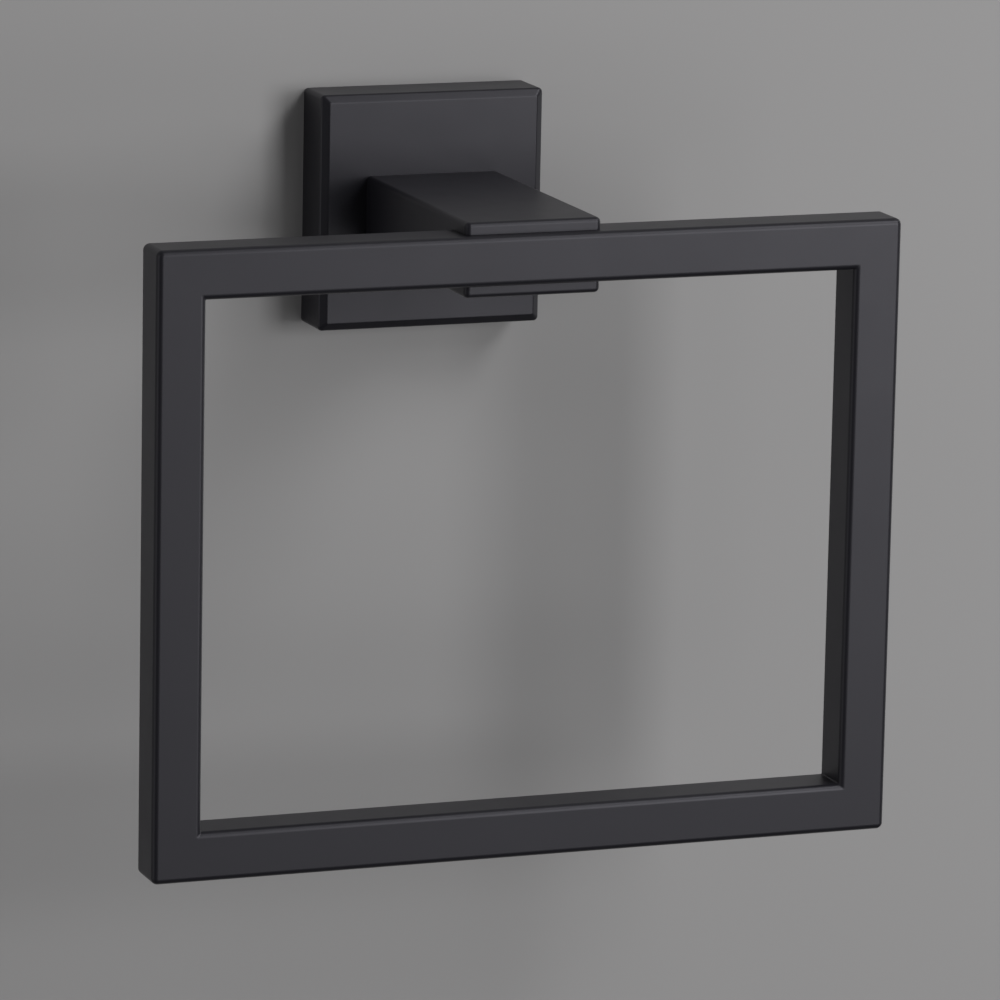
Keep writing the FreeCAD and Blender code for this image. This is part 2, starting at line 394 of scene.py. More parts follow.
def dress(piece: bpy.types.Object, material: bpy.types.Material, slot: Slot, *nodes: str) -> None:
    """Shade a piece, give it its material, attach it to its body, hide the nodes that it replaces and log its
    slot.

    Args:
        piece: The finished piece.
        material: The material for all its faces.
        slot: The record's slot for that finish.
        nodes: The nodes that it replaces.
    """
    shade(piece)
    piece.data.materials.clear()
    piece.data.materials.append(material)
    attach(piece, ROOT)
    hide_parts(*nodes)
    log.info("%s: %d faces, %s", piece.name, len(piece.data.polygons), slot.value)


def grain_group() -> bpy.types.NodeTree:
    """Build the grain that every finish uses: a fine relief over broad waves, and a cloudy mask.

    Returns:
        A node group that puts out a height and a mask, both from 0 to 1.
    """
    group = bpy.data.node_groups.new("fine_grain", "ShaderNodeTree")
    for name, kind, value in (
        ("Vector", "NodeSocketVector", None),
        ("Grain Scale", "NodeSocketFloat", 3000.0),
        ("Wave Scale", "NodeSocketFloat", 600.0),
        ("Grain Share", "NodeSocketFloat", 0.4),
        ("Cloud Scale", "NodeSocketFloat", 60.0),
    ):
        socket = group.interface.new_socket(name, in_out="INPUT", socket_type=kind)
        if value is not None:
            socket.default_value = value
    for name in ("Height", "Cloud"):
        group.interface.new_socket(name, in_out="OUTPUT", socket_type="NodeSocketFloat")
    nodes, links = group.nodes, group.links
    inside = nodes.new("NodeGroupInput")
    outside = nodes.new("NodeGroupOutput")
    noises = {}
    for name, detail in (("Grain Scale", 1.0), ("Wave Scale", 0.0), ("Cloud Scale", 3.0)):
        noise = nodes.new("ShaderNodeTexNoise")
        noise.inputs["Detail"].default_value = detail
        links.new(inside.outputs["Vector"], noise.inputs["Vector"])
        links.new(inside.outputs[name], noise.inputs["Scale"])
        noises[name] = noise.outputs[0]
    relief = nodes.new("ShaderNodeMix")
    links.new(inside.outputs["Grain Share"], relief.inputs["Factor"])
    links.new(noises["Wave Scale"], relief.inputs["A"])
    links.new(noises["Grain Scale"], relief.inputs["B"])
    links.new(relief.outputs["Result"], outside.inputs["Height"])
    spread = nodes.new("ShaderNodeMapRange")
    spread.inputs["From Min"].default_value, spread.inputs["From Max"].default_value = NOISE_RANGE
    links.new(noises["Cloud Scale"], spread.inputs["Value"])
    links.new(spread.outputs["Result"], outside.inputs["Cloud"])
    return group


@dataclass(frozen=True)
class Finish:
    """A finish: two tones that drift into each other, a gloss that drifts with them, and a grain."""

    slot: Slot
    tone: tuple[float, float, float]
    other_tone: tuple[float, float, float]
    roughness: tuple[float, float]
    metallic: float
    grain: float  # size of the fine grain
    wave: float  # size of the broad waves
    cloud: float  # size of the clouds of tone
    grain_share: float
    relief: float  # height of the grain
    stretch: tuple[float, float, float] = (1.0, 1.0, 1.0)  # less than 1 draws the pattern out along that axis
    sheen_level: float = 0.5  # strength of the mirror-like part of a coat
    sheen_tint: tuple[float, float, float] = (1.0, 1.0, 1.0)

    def material(self, grain_nodes: bpy.types.NodeTree) -> bpy.types.Material:
        """Build the material.

        Args:
            grain_nodes: The group from grain_group.

        Returns:
            The new material.
        """
        made = bpy.data.materials.new(self.slot.value)
        made.use_nodes = True
        nodes, links = made.node_tree.nodes, made.node_tree.links
        shader = nodes["Principled BSDF"]
        shader.inputs["Metallic"].default_value = self.metallic
        shader.inputs["Specular IOR Level"].default_value = self.sheen_level
        shader.inputs["Specular Tint"].default_value = (*self.sheen_tint, 1.0)
        place = nodes.new("ShaderNodeTexCoord")
        mapping = nodes.new("ShaderNodeMapping")
        mapping.inputs["Scale"].default_value = self.stretch
        links.new(place.outputs["Object"], mapping.inputs["Vector"])
        grain = nodes.new("ShaderNodeGroup")
        grain.node_tree = grain_nodes
        links.new(mapping.outputs["Vector"], grain.inputs["Vector"])
        grain.inputs["Grain Scale"].default_value = 1 / self.grain
        grain.inputs["Wave Scale"].default_value = 1 / self.wave
        grain.inputs["Cloud Scale"].default_value = 1 / self.cloud
        grain.inputs["Grain Share"].default_value = self.grain_share
        tone = nodes.new("ShaderNodeMix")
        tone.data_type = "RGBA"
        tone.inputs["A"].default_value = (*self.tone, 1.0)
        tone.inputs["B"].default_value = (*self.other_tone, 1.0)
        links.new(grain.outputs["Cloud"], tone.inputs["Factor"])
        links.new(tone.outputs["Result"], shader.inputs["Base Color"])
        gloss = nodes.new("ShaderNodeMapRange")
        gloss.inputs["To Min"].default_value, gloss.inputs["To Max"].default_value = self.roughness
        links.new(grain.outputs["Cloud"], gloss.inputs["Value"])
        links.new(gloss.outputs["Result"], shader.inputs["Roughness"])
        bump = nodes.new("ShaderNodeBump")
        bump.inputs["Distance"].default_value = self.relief
        links.new(grain.outputs["Height"], bump.inputs["Height"])
        links.new(bump.outputs["Normal"], shader.inputs["Normal"])
        return made


SATIN_COAT = Finish(
    Slot.COAT, tone=(0.0128, 0.0125, 0.0166), other_tone=(0.0140, 0.0136, 0.0180), roughness=(0.385, 0.415),
    metallic=0.0, grain=0.22 * MM, wave=1.1 * MM, cloud=9 * MM, grain_share=0.35, relief=0.006 * MM,
    sheen_level=0.54, sheen_tint=(0.93, 0.915, 1.0),
)
ZINC_PLATE = Finish(
    Slot.ZINC, tone=(0.60, 0.61, 0.62), other_tone=(0.68, 0.68, 0.66), roughness=(0.28, 0.40),
    metallic=1.0, grain=0.12 * MM, wave=0.8 * MM, cloud=5 * MM, grain_share=0.5, relief=0.004 * MM,
    stretch=(1.0, 1.0, 0.12),
)
PLATED_SCREW = Finish(
    Slot.SCREW, tone=(0.56, 0.56, 0.55), other_tone=(0.64, 0.63, 0.61), roughness=(0.24, 0.33),
    metallic=1.0, grain=0.1 * MM, wave=0.5 * MM, cloud=2 * MM, grain_share=0.5, relief=0.003 * MM,
)
BLACK_OXIDE = Finish(
    Slot.BLACK, tone=(0.020, 0.020, 0.022), other_tone=(0.032, 0.031, 0.031), roughness=(0.34, 0.46),
    metallic=0.6, grain=0.1 * MM, wave=0.5 * MM, cloud=1.5 * MM, grain_share=0.6, relief=0.003 * MM,
)


@dataclass
class RingPiece:
    """The square ring: one frame of rectangular bar with a tapped hole in the back of its top bar."""

    bar: float = 10.5 * MM
    edge_radius: float = 1.3 * MM
    corner_extra: float = 0.1 * MM
    valley_radius: float = 0.25 * MM
    valley_segments: int = 4
    hole_radius: float = 2.55 * MM
    hole_depth: float = 6.2 * MM
    segments: int = 10

    def frame_block(self) -> BMesh:
        """Make the square frame with sharp edges, whose flat faces are one face each side of the middle.

        Returns:
            A closed mesh.
        """
        low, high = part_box("ring")
        bm = block(low, high)
        faces = [face for face in bm.faces if abs(face.normal.y) > 0.5]
        bmesh.ops.inset_individual(bm, faces=faces, thickness=self.bar, use_even_offset=True)
        rims = [edge for face in faces for edge in face.edges]
        bmesh.ops.delete(bm, geom=faces, context="FACES_ONLY")
        bmesh.ops.bridge_loops(bm, edges=rims)
        middle = (low + high) / 2
        bmesh.ops.bisect_plane(bm, geom=everything(bm), plane_co=middle, plane_no=Axis.X.vector)
        slanted = []
        for edge in bm.edges:
            run = edge.verts[1].co - edge.verts[0].co
            if min(abs(run.x), abs(run.z)) > NEAR:
                slanted.append(edge)
        bmesh.ops.dissolve_edges(bm, edges=slanted, use_verts=False)
        bmesh.ops.recalc_face_normals(bm, faces=bm.faces)
        return bm

    def build(self) -> bpy.types.Object:
        """Make the ring.

        Returns:
            The ring's object.
        """
        low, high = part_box("ring")
        bm = self.frame_block()
        middle, half = (low + high) / 2, (high - low) / 2

        def outer_corner(point: Vector) -> bool:
            """Say whether a point lies on one of the four outer corner edges."""
            off_x, off_z = abs(point.x - middle.x) - half.x, abs(point.z - middle.z) - half.z
            return abs(off_x) < NEAR and abs(off_z) < NEAR

        corners = edges_where(bm, outer_corner, Axis.Y)
        round_edges(bm, corners, self.edge_radius + self.corner_extra, self.segments)
        round_edges(bm, rim_edges(bm, Axis.Y, (low.y, high.y)), self.edge_radius, self.segments)
        valleys = [edge for edge in bm.edges if edge.calc_face_angle_signed() < -math.radians(VALLEY)]
        round_edges(bm, valleys, self.valley_radius, self.valley_segments)
        hole = placed(drilled_hole(self.hole_radius, self.hole_depth), (0, high.y, 0), -Axis.Y.vector)
        return mesh_object("ring_frame", combined(bm, Join.CUT, hole))


@dataclass
class ArmPiece:
    """The arm: one hollow casting whose front is a slot between two lips."""

    lip: float = 2.55 * MM
    lip_corner_radius: float = 1.2 * MM
    edge_radius: float = 1.0 * MM
    slot_root_radius: float = 0.9 * MM
    wall: float = 2.4 * MM
    hollow_radius: float = 1.2 * MM
    web: float = 3.5 * MM
    boss_spacing: float = 19 * MM
    boss_radius: float = 3.4 * MM
    tapped_radius: float = 2.05 * MM
    tapped_depth: float = 8.8 * MM
    through_radius: float = 2.75 * MM

    def casting(self, root: float) -> BMesh:
        """Make the outside: a slotted profile drawn out sideways, then rounded.

        Args:
            root: Where the slot ends.

        Returns:
            A closed mesh.
        """
        low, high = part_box("arm")
        slot = high.z - self.lip
        profile = [
            (low.y, high.z), (low.y, slot), (root, slot), (root, -slot), (low.y, -slot), (low.y, low.z),
            (high.y, low.z), (high.y, high.z),
        ]
        bm = bmesh.new()
        bm.faces.new([bm.verts.new((low.x, y, z)) for y, z in profile])
        round_corners(bm, [vert for vert in bm.verts if abs(vert.co.y - root) < NEAR], self.slot_root_radius)
        drawn = bmesh.ops.extrude_face_region(bm, geom=bm.faces[:])
        moved = [item for item in drawn["geom"] if isinstance(item, BMVert)]
        bmesh.ops.translate(bm, vec=(high.x - low.x, 0, 0), verts=moved)
        bmesh.ops.recalc_face_normals(bm, faces=bm.faces)
        front = edges_where(bm, lambda point: point.y < low.y + NEAR, Axis.Z)
        round_edges(bm, front, self.lip_corner_radius)
        rims = rim_edges(bm, Axis.Z, (low.z, high.z), lambda point: point.y < high.y - NEAR)
        round_edges(bm, rims, self.edge_radius)
        return bm

    def hollow(self, front: float) -> BMesh:
        """Make the space inside, less a screw boss at each side.

        Args:
            front: Where the space starts behind the slot.

        Returns:
            A closed mesh.
        """
        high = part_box("arm")[1]
        inner = high - Vector((self.wall, 0, self.wall))
        far = (inner.x, high.y + BEYOND, inner.z)
        space = rounded_block((-inner.x, front, -inner.z), far, self.hollow_radius)
        boss_x = self.boss_spacing / 2
        length = high.y + 2 * BEYOND - front
        boss = placed(prism(self.boss_radius, length), (boss_x, front - BEYOND / 2, 0), Axis.Y.vector)
        # The boss is stretched sideways, so that it joins the side wall.
        outer = [vert for vert in boss.verts if vert.co.x > boss_x + NEAR]
        bmesh.ops.translate(boss, vec=(high.x - boss_x, 0, 0), verts=outer)
        return combined(space, Join.CUT, *mirrored_pair(boss))

    def build(self) -> bpy.types.Object:
        """Make the arm.

        Returns:
            The arm's object.
        """
        back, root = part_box("arm")[1].y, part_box("ring")[1].y
        tapped = drilled_hole(self.tapped_radius, self.tapped_depth)
        tapped = placed(tapped, (self.boss_spacing / 2, back, 0), -Axis.Y.vector)
        through = prism(self.through_radius, self.web + 2 * BEYOND)
        through = placed(through, (0, root - BEYOND, 0), Axis.Y.vector)
        tools = (self.hollow(root + self.web), *mirrored_pair(tapped), through)
        return mesh_object("arm_casting", combined(self.casting(root), Join.CUT, *tools))


@dataclass
class FlangePiece:
    """The wall flange: a casting with a bevelled front, hollow at the back."""

    wall: float = 2.6 * MM
    front: float = 3.0 * MM
    corner_radius: float = 1.0 * MM
    bevel: float = 1.6 * MM
    bevel_depth: float = 1.1 * MM
    bevel_corner_radius: float = 0.4 * MM
    bevel_edge_radius: float = 0.7 * MM
    bevel_segments: int = 5
    hollow_radius: float = 1.5 * MM
    pad_thickness: float = 1.2 * MM
    pad_size: tuple[float, float] = (30.0 * MM, 11.0 * MM)
    pad_radius: float = 2.0 * MM
    screw_spacing: float = 19 * MM
    screw_hole_radius: float = 2.25 * MM
    grub_hole_radius: float = 2.05 * MM

    def outline(self, bm: BMesh, corner: Vector, radius: float, y: float) -> list[BMEdge]:
        """Draw an outline with round corners that faces the front.

        Args:
            bm: The mesh to draw in.
            corner: The outline's upper right corner before it is rounded.
            radius: The corners' radius.
            y: The outline's depth.

        Returns:
            The outline's edges.
        """
        upright = Matrix.Translation((0, y, 0)) @ Matrix.Rotation(math.radians(90), 4, "X")
        grid = bmesh.ops.create_grid(bm, x_segments=1, y_segments=1, size=1.0, matrix=upright)
        bmesh.ops.scale(bm, vec=(corner.x, 1.0, corner.z), verts=grid["verts"])
        round_corners(bm, grid["verts"], radius)
        faces = [face for face in bm.faces if all(abs(vert.co.y - y) < NEAR for vert in face.verts)]
        edges = list({edge for face in faces for edge in face.edges})
        bmesh.ops.delete(bm, geom=faces, context="FACES_ONLY")
        return edges

    def casting(self) -> BMesh:
        """Make the outside.

        Returns:
            A closed mesh.
        """
        low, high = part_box("wall_flange")
        bm = bmesh.new()
        face_y = low.y
        back = self.outline(bm, high, self.corner_radius, high.y)
        edge = self.outline(bm, high, self.corner_radius, face_y + self.bevel_depth)
        inner = high - Vector((self.bevel, 0, self.bevel))
        flat = self.outline(bm, inner, self.bevel_corner_radius, face_y)
        bmesh.ops.bridge_loops(bm, edges=back + edge)
        bmesh.ops.bridge_loops(bm, edges=edge + flat)
        bmesh.ops.holes_fill(bm, edges=back + flat, sides=0)
        bmesh.ops.recalc_face_normals(bm, faces=bm.faces)
        front_turn = math.degrees(math.atan2(self.bevel_depth, self.bevel))
        for place, turn in ((face_y, front_turn), (face_y + self.bevel_depth, 90 - front_turn)):
            rim = rim_edges(bm, Axis.Y, (place,))
            round_edges(bm, rim, self.bevel_edge_radius, self.bevel_segments, turn)
        return bm

    def hollow(self) -> BMesh:
        """Make the space at the back, less the pad that the arm's screws press on.

        Returns:
            A closed mesh.
        """
        low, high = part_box("wall_flange")
        inner, floor = high - Vector((self.wall, 0, self.wall)), low.y + self.front
        space = rounded_block((-inner.x, floor, -inner.z), (inner.x, BEYOND, inner.z), self.hollow_radius)
        pad_x, pad_z = self.pad_size[0] / 2, self.pad_size[1] / 2
        pad_top = (pad_x, floor + self.pad_thickness, pad_z)
        return combined(space, Join.CUT, rounded_block((-pad_x, low.y, -pad_z), pad_top, self.pad_radius))

    def build(self) -> bpy.types.Object:
        """Make the flange.

        Returns:
            The flange's object.
        """
        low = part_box("wall_flange")[0]
        grub_low, grub_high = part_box("flange_grub_screw")
        grub_y = (grub_low.y + grub_high.y) / 2
        hole = prism(self.screw_hole_radius, 4 * BEYOND)
        hole = placed(hole, (self.screw_spacing / 2, low.y - BEYOND, 0), Axis.Y.vector)
        grub_hole = drilled_hole(self.grub_hole_radius, self.wall + BEYOND)
        grub_hole = placed(grub_hole, (0, grub_y, low.z), Axis.Z.vector)
        tools = (self.hollow(), *mirrored_pair(hole), grub_hole)
        return mesh_object("wall_flange_casting", combined(self.casting(), Join.CUT, *tools))


@dataclass
class BracketPiece:
    """The bracket on the wall: a plate with two tabs bent forward."""

    sheet: float = 2.0 * MM
    bend_radius: float = 1.2 * MM
    bend_steps: int = 10
    corner_radius: float = 3.0 * MM
    tab_width: float = 18.0 * MM
    tab_corner_radius: float = 1.5 * MM
    relief_radius: float = 1.0 * MM
    slot_spacing: float = 22.0 * MM
    slot_length: float = 8.0 * MM
    slot_radius: float = 2.25 * MM
    slot_segments: int = 16
    dog_hole_radius: float = 1.35 * MM
    edge_break: float = 0.12 * MM
    edge_break_segments: int = 2

    @property
    def bend(self) -> float:
        """The outer radius of the bends."""
        return self.sheet + self.bend_radius

    @property
    def relief_x(self) -> float:
        """How far from the middle the bend reliefs are."""
        return self.tab_width / 2 + self.relief_radius

    def bend_tab(self, bm: BMesh, edge_z: float, tab_end: float, side: int) -> None:
        """Bend a tab forward from the plate's top or bottom face and draw it out.

        Args:
            bm: The plate, which is changed.
            edge_z: The height where the bend starts.
            tab_end: How far forward the tab ends.
            side: 1 for the upper tab and -1 for the lower one.
        """
        root = Vector((0, -self.sheet / 2, edge_z))
        start = min(bm.faces, key=lambda face: (face.calc_center_median() - root).length)
        bent = bmesh.ops.spin(
            bm, geom=[start], cent=(0, -self.bend, edge_z), axis=(1, 0, 0), angle=side * math.radians(90),
            steps=self.bend_steps,
        )
        end = [item for item in bent["geom_last"] if isinstance(item, BMFace)]
        drawn = bmesh.ops.extrude_face_region(bm, geom=end)
        bmesh.ops.delete(bm, geom=[start, *end], context="FACES_ONLY")
        moved = [item for item in drawn["geom"] if isinstance(item, BMVert)]
        bmesh.ops.translate(bm, vec=(0, tab_end + self.bend, 0), verts=moved)

    def plate(self) -> BMesh:
        """Make the bent plate without its holes.

        Returns:
            A closed mesh.
        """
        low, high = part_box("wall_bracket")
        bottom, top = low.z + self.bend, high.z - self.bend
        bm = block((low.x, high.y - self.sheet, bottom), (high.x, high.y, top))
        for x in (-self.tab_width / 2, self.tab_width / 2):
            bmesh.ops.bisect_plane(bm, geom=everything(bm), plane_co=(x, 0, 0), plane_no=Axis.X.vector)
        self.bend_tab(bm, top, low.y, 1)
        self.bend_tab(bm, bottom, low.y, -1)
        bmesh.ops.recalc_face_normals(bm, faces=bm.faces)
        corners = edges_where(bm, lambda point: abs(point.x) > high.x - NEAR, Axis.Y)
        round_edges(bm, corners, self.corner_radius)
        tips = edges_where(bm, lambda point: point.y < low.y + NEAR, Axis.Z)
        round_edges(bm, tips, self.tab_corner_radius)
        return bm

    def holes(self) -> list[BMesh]:
        """Make the tools for the bend reliefs, the wall slots and the grub screw's hole.

        Returns:
            The tools.
        """
        low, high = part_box("wall_bracket")
        tools = []
        for z in (low.z + self.bend, high.z - self.bend):
            relief = prism(self.relief_radius, self.sheet + 2 * BEYOND)
            relief = placed(relief, (self.relief_x, high.y - self.sheet - BEYOND, z), Axis.Y.vector)
            tools += mirrored_pair(relief)
        half = Vector((self.slot_radius, self.sheet / 2 + BEYOND, self.slot_length / 2))
        for z in (-self.slot_spacing / 2, self.slot_spacing / 2):
            middle = Vector((0, high.y - self.sheet / 2, z))
            ends = self.slot_radius - NEAR
            tools.append(rounded_block(middle - half, middle + half, ends, self.slot_segments))
        grub_low, grub_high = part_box("flange_grub_screw")
        dog = prism(self.dog_hole_radius, self.sheet + 2 * BEYOND)
        dog_y = (grub_low.y + grub_high.y) / 2
        tools.append(placed(dog, (0, dog_y, low.z - BEYOND), Axis.Z.vector))
        return tools

    def build(self) -> bpy.types.Object:
        """Make the bracket.

        Returns:
            The bracket's object.
        """
        low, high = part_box("wall_bracket")
        body = combined(self.plate(), Join.CUT, *self.holes())
        heights = (low.z + self.bend, high.z - self.bend)
        notches = [Vector((x, 0, z)) for x in (-self.relief_x, self.relief_x) for z in heights]

        def plain(edge: BMEdge) -> bool:
            """Say whether an edge lies away from the notches beside the bends."""
            middle = (edge.verts[0].co + edge.verts[1].co) / 2
            reach = self.relief_radius + 2 * self.edge_break
            return all((middle - Vector((0, middle.y, 0)) - notch).length > reach for notch in notches)

        square = [edge for edge in body.edges if edge.calc_face_angle_signed() > math.radians(SQUARE)]
        plain_edges = [edge for edge in square if plain(edge)]
        round_edges(body, plain_edges, self.edge_break, self.edge_break_segments)
        return mesh_object("bracket_plate", body)


@dataclass(frozen=True)
class Thread:
    """A right-hand screw thread of the usual 60 degree form."""

    radius: float
    pitch: float
    tip_chamfer: float = 0.5 * MM
    steps: int = 28  # facets round one turn
    flank_angle: float = 30.0  # degrees between a flank and a plane across the screw
    merge_share: float = 0.005  # of the pitch, within which corners join
    start_turns: float = 4 / 3  # how many turns up the helix the rod starts

    def helix(self, length: float) -> BMesh:
        """Make a threaded rod with flat ends that stands on the origin and points along +Z.

        Args:
            length: The rod's length.

        Returns:
            A closed mesh.
        """
        crest, valley = self.pitch / 8, self.pitch / 4
        flank = (self.pitch - crest - valley) / 2
        root = self.radius - flank / math.tan(math.radians(self.flank_angle))
        heights = [0, valley, valley + flank, valley + flank + crest, self.pitch]
        radii = [root, root, self.radius, self.radius, root]
        bm = bmesh.new()
        verts = [bm.verts.new((radius, 0, height)) for radius, height in zip(radii, heights)]
        edges = [bm.edges.new(pair) for pair in zip(verts, verts[1:])]
        turns = math.ceil(length / self.pitch) + 2
        bmesh.ops.spin(
            bm, geom=verts + edges, cent=(0, 0, 0), axis=(0, 0, 1), dvec=(0, 0, self.pitch / self.steps),
            angle=math.tau * turns, steps=self.steps * turns,
        )
        bmesh.ops.remove_doubles(bm, verts=bm.verts, dist=self.pitch * self.merge_share)
        start = self.pitch * self.start_turns
        for height, direction in ((start, -1), (start + length, 1)):
            place, outwards = (0, 0, height), (0, 0, direction)
            cut = bmesh.ops.bisect_plane(
                bm, geom=everything(bm), plane_co=place, plane_no=outwards, clear_outer=True
            )
            bmesh.ops.edgeloop_fill(bm, edges=[item for item in cut["geom_cut"] if isinstance(item, BMEdge)])
        bmesh.ops.recalc_face_normals(bm, faces=bm.faces)
        bmesh.ops.translate(bm, vec=(0, 0, -start), verts=bm.verts)
        return bm

    def shank(self, length: float, overlap: float = 0.5 * MM) -> BMesh:
        """Make a screw's shank from the origin towards -Z, with a chamfered tip.

        Args:
            length: From the origin to the tip.
            overlap: How far it runs past the origin into what carries it.

        Returns:
            A closed mesh.
        """
        rod = self.helix(length + overlap)
        bmesh.ops.translate(rod, vec=(0, 0, -length), verts=rod.verts)
        wide = self.radius + self.tip_chamfer
        hull = turned([
            (0, -length), (self.radius - self.tip_chamfer, -length), (wide, -length + 2 * self.tip_chamfer),
            (wide, BEYOND), (0, BEYOND),
        ])
        return combined(rod, Join.COMMON, hull)


@dataclass
class FixingScrews:
    """The four screws and the washer that hold the castings together."""

    arm_thread: Thread = Thread(2.0 * MM, 0.7 * MM)
    arm_length: float = 12.0 * MM
    arm_head: tuple[float, float] = (3.9 * MM, 2.6 * MM)  # radius and height
    dome_share: float = 0.5  # of that head's height
    dome_steps: int = 10
    foot_share: float = 0.03  # of that head's radius, for the chamfer under its rim
    cross: tuple[float, float, float] = (4.4 * MM, 0.9 * MM, 1.6 * MM)  # length, width and depth
    cross_floor: tuple[float, float] = (0.42, 0.7)  # share of its length and width at its floor
    ring_thread: Thread = Thread(2.5 * MM, 0.8 * MM)
    ring_length: float = 10.0 * MM
    ring_head: tuple[float, float] = (4.25 * MM, 5.0 * MM)
    ring_socket: tuple[float, float] = (4.0 * MM, 2.5 * MM)  # across flats and depth
    head_chamfer: float = 0.4 * MM
    washer_radii: tuple[float, float] = (2.6 * MM, 4.6 * MM)
    washer_edge: float = 0.1 * MM
    washer_split: tuple[float, float] = (0.8 * MM, 20.0)  # width and slant in degrees
    grub_thread: Thread = Thread(2.0 * MM, 0.7 * MM, tip_chamfer=0.3 * MM)
    grub_socket: tuple[float, float] = (2.0 * MM, 1.5 * MM)
    dog: tuple[float, float] = (1.25 * MM, 1.4 * MM)  # radius and length
    pilot_share: float = 0.98  # of a key's size, for the drill that starts its socket
    pilot_point: float = 0.6  # length of that drill's point in its radii
    pilot_sides: int = 32

    def socket(self, across_flats: float, depth: float) -> BMesh:
        """Make a hexagon socket as a tool from the origin towards -Z, with the drill's point below it.

        Args:
            across_flats: The key's size.
            depth: How deep the flats go.

        Returns:
            A closed mesh.
        """
        key = placed(prism(across_flats / math.sqrt(3), depth + BEYOND, 6), (0, 0, -depth), Axis.Z.vector)
        radius = across_flats / 2 * self.pilot_share
        outline = [(0, -depth - radius * self.pilot_point), (radius, -depth), (radius, 0), (0, 0)]
        return combined(key, Join.ADD, turned(outline, self.pilot_sides))

    def cross_recess(self, top: float) -> BMesh:
        """Make a cross recess as a tool that narrows downwards.

        Args:
            top: The height of the head's top.

        Returns:
            A closed mesh.
        """
        length, width, depth = self.cross
        along, across = self.cross_floor
        bars = []
        for x, y, shrink in ((length, width, (along, across, 1)), (width, length, (across, along, 1))):
            bar = block((-x / 2, -y / 2, top - depth), (x / 2, y / 2, top + depth))
            bmesh.ops.scale(bar, vec=shrink, verts=[vert for vert in bar.verts if vert.co.z < top])
            bars.append(bar)
        return combined(bars[0], Join.ADD, bars[1])

    def arm_screw(self) -> BMesh:
        """Make a pan head screw with a cross recess, its head's seat on the origin and its tip towards -Z.

        Returns:
            A closed mesh.
        """
        radius, height = self.arm_head
        rise = height * (1 - self.dome_share)
        foot = radius * self.foot_share
        dome = []
        for step in range(self.dome_steps):
            angle = step * math.pi / 2 / self.dome_steps
            dome.append((radius * math.cos(angle), rise + (height - rise) * math.sin(angle)))
        head = turned([(0, 0), (radius - foot, 0), (radius, foot), *dome, (0, height)])
        head = combined(head, Join.CUT, self.cross_recess(height))
        return combined(head, Join.ADD, self.arm_thread.shank(self.arm_length))

    def ring_screw(self) -> BMesh:
        """Make a socket head screw, its head's seat on the origin and its tip towards -Z.

        Returns:
            A closed mesh.
        """
        radius, height = self.ring_head
        chamfer = self.head_chamfer
        head = turned([
            (0, 0), (radius, 0), (radius, height - chamfer), (radius - chamfer, height), (0, height),
        ])
        socket = self.socket(*self.ring_socket)
        bmesh.ops.translate(socket, vec=(0, 0, height), verts=socket.verts)
        head = combined(head, Join.CUT, socket)
        return combined(head, Join.ADD, self.ring_thread.shank(self.ring_length))

    def washer(self, thickness: float) -> BMesh:
        """Make a split lock washer that lies on the origin.

        Args:
            thickness: The washer's thickness.

        Returns:
            A closed mesh.
        """
        inner, outer = self.washer_radii
        edge = self.washer_edge
        ring = turned([
            (inner + edge, 0), (outer - edge, 0), (outer, edge), (outer, thickness - edge),
            (outer - edge, thickness), (inner + edge, thickness), (inner, thickness - edge), (inner, edge),
        ])
        width, slant = self.washer_split
        split = block((-width / 2, 0, -BEYOND), (width / 2, outer + BEYOND, BEYOND))
        turn = Matrix.Rotation(math.radians(slant), 3, "Y")
        bmesh.ops.rotate(split, cent=(0, 0, thickness / 2), matrix=turn, verts=split.verts)
        return combined(ring, Join.CUT, split)

    def grub_screw(self, length: float) -> BMesh:
        """Make a socket set screw with a dog point, its socket on the origin and its point towards +Z.

        Args:
            length: From the socket's end to the end of the point.

        Returns:
            A closed mesh.
        """
        radius, reach = self.dog
        full = length - reach
        chamfer = self.grub_thread.tip_chamfer
        narrow, wide = self.grub_thread.radius - chamfer, self.grub_thread.radius + chamfer
        hull = turned([
            (0, 0), (narrow, 0), (wide, 2 * chamfer), (wide, full - 2 * chamfer), (narrow, full), (0, full),
        ])
        body = combined(self.grub_thread.helix(full), Join.COMMON, hull)
        tip = chamfer / 2
        point = turned([
            (0, full / 2), (radius, full / 2), (radius, length - tip), (radius - tip, length), (0, length),
        ])
        socket = placed(self.socket(*self.grub_socket), (0, 0, 0), -Axis.Z.vector)
        return combined(combined(body, Join.ADD, point), Join.CUT, socket)

    def build(self, plated: bpy.types.Material, black: bpy.types.Material) -> None:
        """Make and dress every screw and the washer.

        Args:
            plated: The material of the plated screws and the washer.
            black: The material of the grub screw.
        """
        along = Axis.Y.vector
        arm_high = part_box("arm_screws")[1]
        seat = arm_high.y - self.arm_head[1]
        head_x = arm_high.x - self.arm_head[0]
        for side, x in (("left", -head_x), ("right", head_x)):
            piece = mesh_object(f"arm_screw_{side}", placed(self.arm_screw(), (x, seat, 0), along))
            dress(piece, plated, Slot.SCREW, "arm_screws")
        ring_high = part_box("ring_screw")[1]
        seat = ring_high.y - self.ring_head[1]
        piece = mesh_object("ring_screw_piece", placed(self.ring_screw(), (0, seat, 0), along))
        dress(piece, plated, Slot.SCREW, "ring_screw")
        low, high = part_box("ring_lock_washer")
        washer = placed(self.washer(high.y - low.y), (0, low.y, 0), along)
        dress(mesh_object("lock_washer", washer), plated, Slot.SCREW, "ring_lock_washer")
        low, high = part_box("flange_grub_screw")
        grub = placed(self.grub_screw(high.z - low.z), (0, (low.y + high.y) / 2, low.z), Axis.Z.vector)
        dress(mesh_object("grub_screw", grub), black, Slot.BLACK, "flange_grub_screw")


